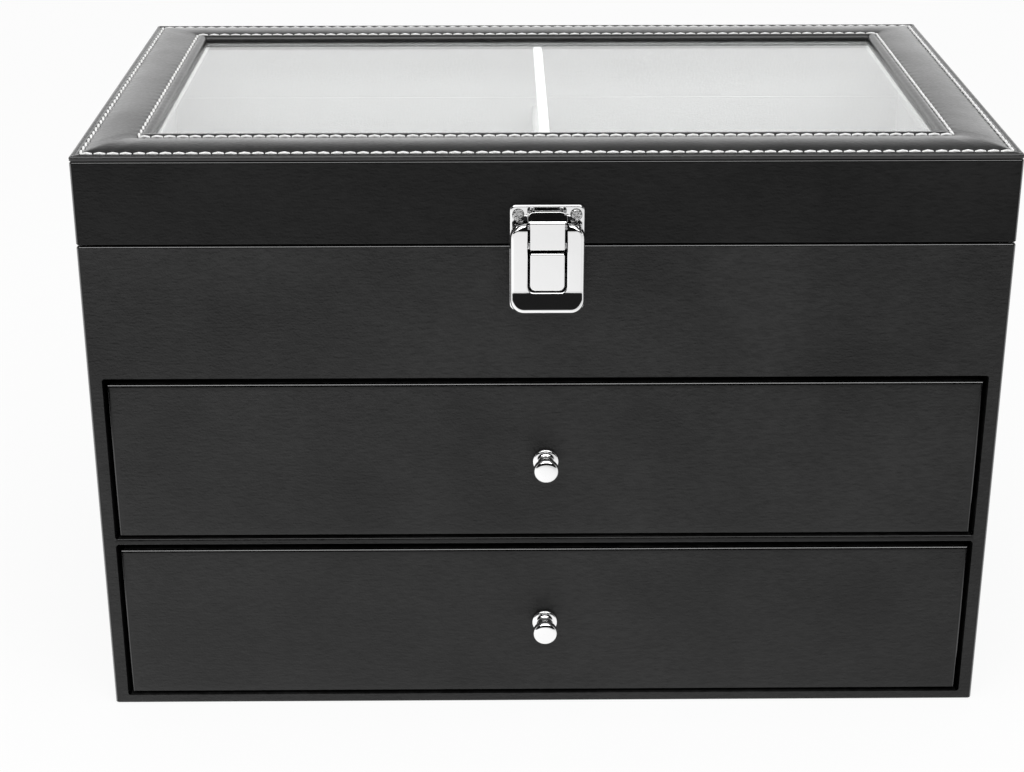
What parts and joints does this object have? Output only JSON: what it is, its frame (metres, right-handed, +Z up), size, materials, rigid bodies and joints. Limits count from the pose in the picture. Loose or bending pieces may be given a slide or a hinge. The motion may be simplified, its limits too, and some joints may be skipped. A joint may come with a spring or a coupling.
{
  "type": "eyewear_storage_box",
  "caption": "Black leather-covered eyewear storage box with a glass-topped hinged lid, a chrome draw latch and stacked drawers with chrome knobs, all lined in pale velvet",
  "frame": {"origin": "middle of the case's underside, on the surface that it stands on", "axes": "+X runs across the front, to the right as the picture shows it, +Y from the front to the hinges at the back, +Z up"},
  "size_m": [0.335, 0.209, 0.225],
  "materials": {
    "leather": "black grained leatherette over boards",
    "velvet": "pale grey velvet",
    "chrome": "polished chrome plate",
    "steel": "plain plated steel",
    "glass": "clear sheet glass"
  },
  "bodies": {
    "case": {"back_panel": "leather", "bottom_panel": "leather", "drawer_shelf": "leather", "front_apron": "leather", "hinge_left_case_leaf": "steel", "hinge_left_case_screw_left": "chrome", "hinge_left_case_screw_right": "chrome", "hinge_left_pin": "steel", "hinge_right_case_leaf": "steel", "hinge_right_case_screw_left": "chrome", "hinge_right_case_screw_right": "chrome", "hinge_right_pin": "steel", "latch_base": "chrome", "latch_base_screw_left": "chrome", "latch_base_screw_right": "chrome", "left_side": "leather", "lever_pin": "steel", "right_side": "leather", "tray_divider": "velvet", "tray_floor": "leather", "tray_lining": "velvet"},
    "lid": {"hinge_left_lid_leaf": "steel", "hinge_left_lid_screw_left": "chrome", "hinge_left_lid_screw_right": "chrome", "hinge_right_lid_leaf": "steel", "hinge_right_lid_screw_left": "chrome", "hinge_right_lid_screw_right": "chrome", "latch_keeper": "chrome", "latch_keeper_screw_left": "chrome", "latch_keeper_screw_right": "chrome", "lid_back": "leather", "lid_front": "leather", "lid_left": "leather", "lid_lining": "velvet", "lid_right": "leather", "lid_top_frame": "leather", "window_bar": "velvet", "window_glass": "glass"},
    "upper_drawer": {"upper_drawer_back": "leather", "upper_drawer_bottom": "leather", "upper_drawer_divider": "velvet", "upper_drawer_front": "leather", "upper_drawer_knob": "chrome", "upper_drawer_knob_screw": "steel", "upper_drawer_left_side": "leather", "upper_drawer_lining": "velvet", "upper_drawer_right_side": "leather"},
    "lower_drawer": {"lower_drawer_back": "leather", "lower_drawer_bottom": "leather", "lower_drawer_divider": "velvet", "lower_drawer_front": "leather", "lower_drawer_knob": "chrome", "lower_drawer_knob_screw": "steel", "lower_drawer_left_side": "leather", "lower_drawer_lining": "velvet", "lower_drawer_right_side": "leather"},
    "latch_lever": {"latch_lever": "chrome", "hook_pin": "steel"},
    "latch_hook": {"latch_hook": "chrome"}
  },
  "joints": [
    {"name": "lid_hinge", "type": "hinge", "parent": "case", "child": "lid", "pos_m": [0, 0.099, 0.19], "axis": [-1, 0, 0], "range_deg": [0, 95]},
    {"name": "upper_drawer_slide", "type": "slide", "parent": "case", "child": "upper_drawer", "axis": [0, -1, 0], "range_m": [0, 0.15]},
    {"name": "lower_drawer_slide", "type": "slide", "parent": "case", "child": "lower_drawer", "axis": [0, -1, 0], "range_m": [0, 0.15]},
    {"name": "lever_pivot", "type": "hinge", "parent": "case", "child": "latch_lever", "pos_m": [0, -0.1011, 0.1981], "axis": [-1, 0, 0], "range_deg": [0, 70]},
    {"name": "hook_pivot", "type": "hinge", "parent": "latch_lever", "child": "latch_hook", "pos_m": [0, -0.1011, 0.1916], "axis": [-1, 0, 0], "range_deg": [-25, 0]}
  ],
  "couplings": [
    {"joint": "hook_pivot", "follows": "lever_pivot", "ratio": -0.34}
  ]
}
